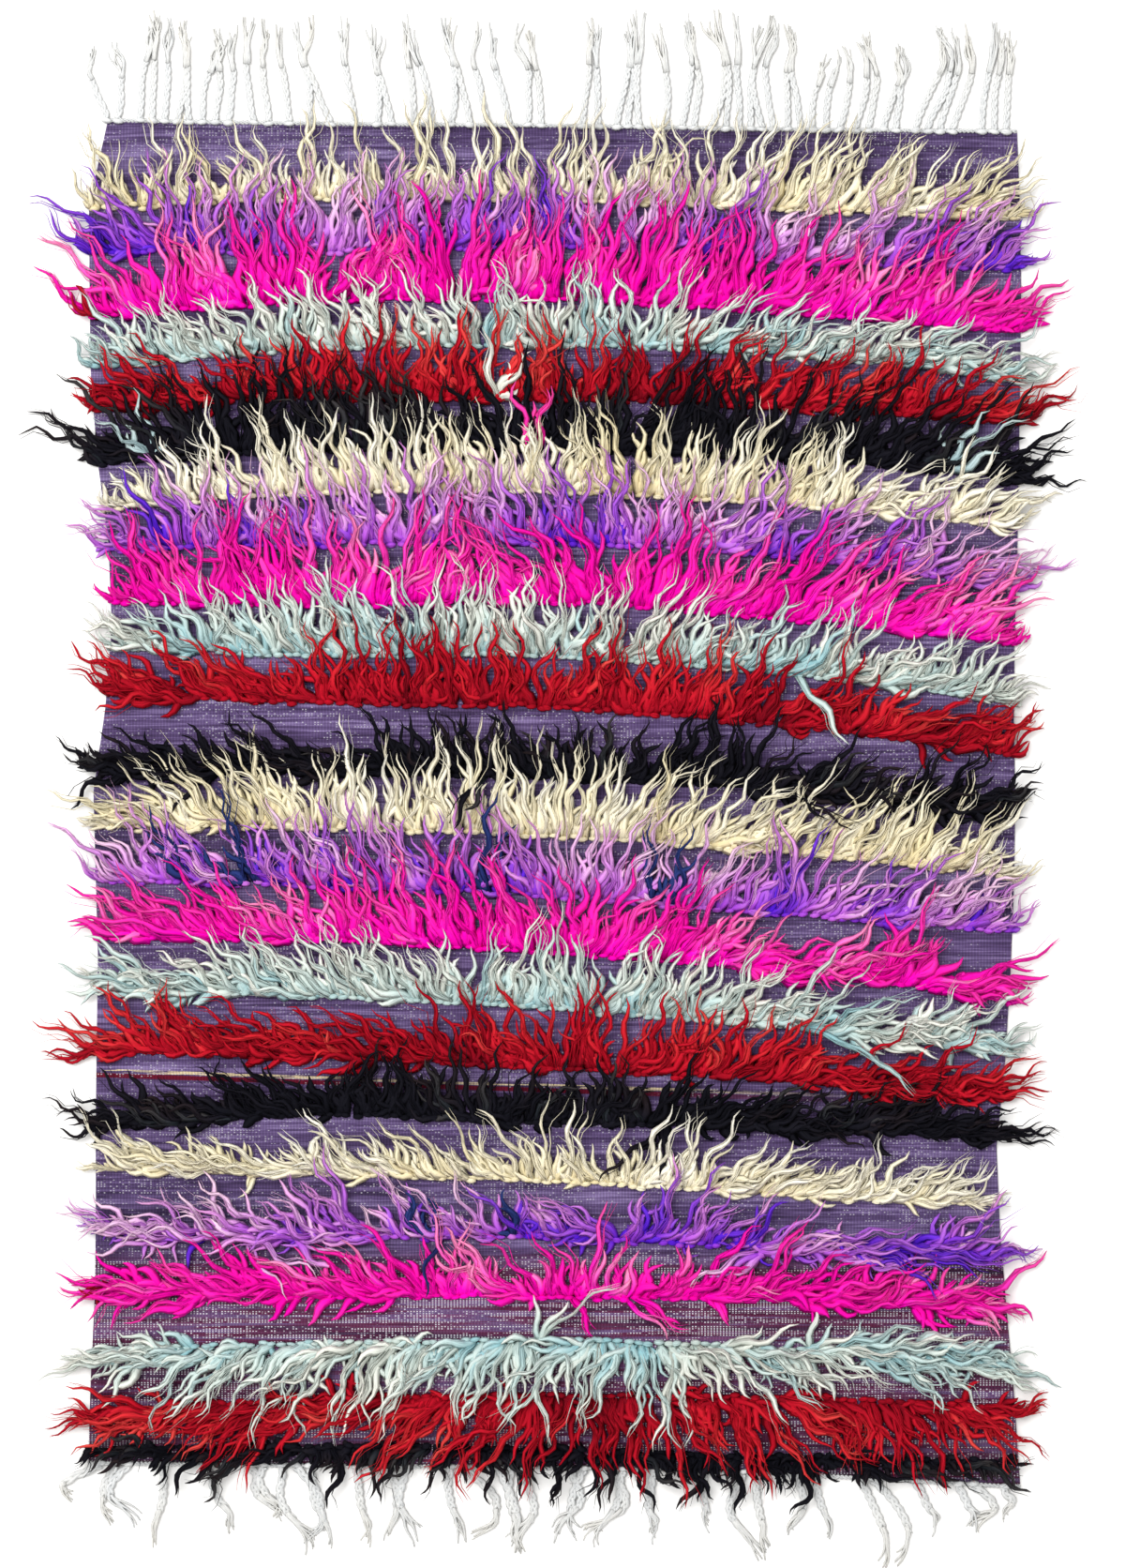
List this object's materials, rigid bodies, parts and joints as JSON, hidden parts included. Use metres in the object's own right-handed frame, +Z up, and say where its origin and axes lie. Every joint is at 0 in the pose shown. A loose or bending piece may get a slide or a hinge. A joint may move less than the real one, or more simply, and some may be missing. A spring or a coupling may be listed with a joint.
{
  "type": "tulu rug",
  "caption": "Flat-woven wool rug with rows of long knotted locks in bright stripes across it and plaited cotton fringes at both ends, lying flat.",
  "frame": {"origin": "middle of the ground's underside, on the floor", "axes": "+Y towards the rug's top end along its length, +X to the right across it, +Z up from the floor"},
  "size_m": [1.1533, 1.652, 0.0248],
  "materials": {
    "ground_weave": "weft-faced wool weave on cotton warps, matt",
    "cream_wool": "long hand-spun wool locks, soft sheen",
    "purple_wool": "long hand-spun wool locks, soft sheen",
    "pink_wool": "long hand-spun wool locks, soft sheen",
    "blue_wool": "long hand-spun wool locks, soft sheen",
    "red_wool": "long hand-spun wool locks, soft sheen",
    "black_wool": "long hand-spun wool locks, matted",
    "fringe_cotton": "plaited cotton warp ends, matt"
  },
  "bodies": {
    "root": {"ground": "ground_weave", "row_01_cream": "cream_wool", "row_02_purple": "purple_wool", "row_03_pink": "pink_wool", "row_04_blue": "blue_wool", "row_05_red": "red_wool", "row_06_black": "black_wool", "row_07_cream": "cream_wool", "row_08_purple": "purple_wool", "row_09_pink": "pink_wool", "row_10_blue": "blue_wool", "row_11_red": "red_wool", "row_12_black": "black_wool", "row_13_cream": "cream_wool", "row_14_purple": "purple_wool", "row_15_pink": "pink_wool", "row_16_blue": "blue_wool", "row_17_red": "red_wool", "row_18_black": "black_wool", "row_19_cream": "cream_wool", "row_20_purple": "purple_wool", "row_21_pink": "pink_wool", "row_22_blue": "blue_wool", "row_23_red": "red_wool", "row_24_black": "black_wool", "fringe_top": "fringe_cotton", "fringe_bottom": "fringe_cotton"}
  },
  "joints": []
}
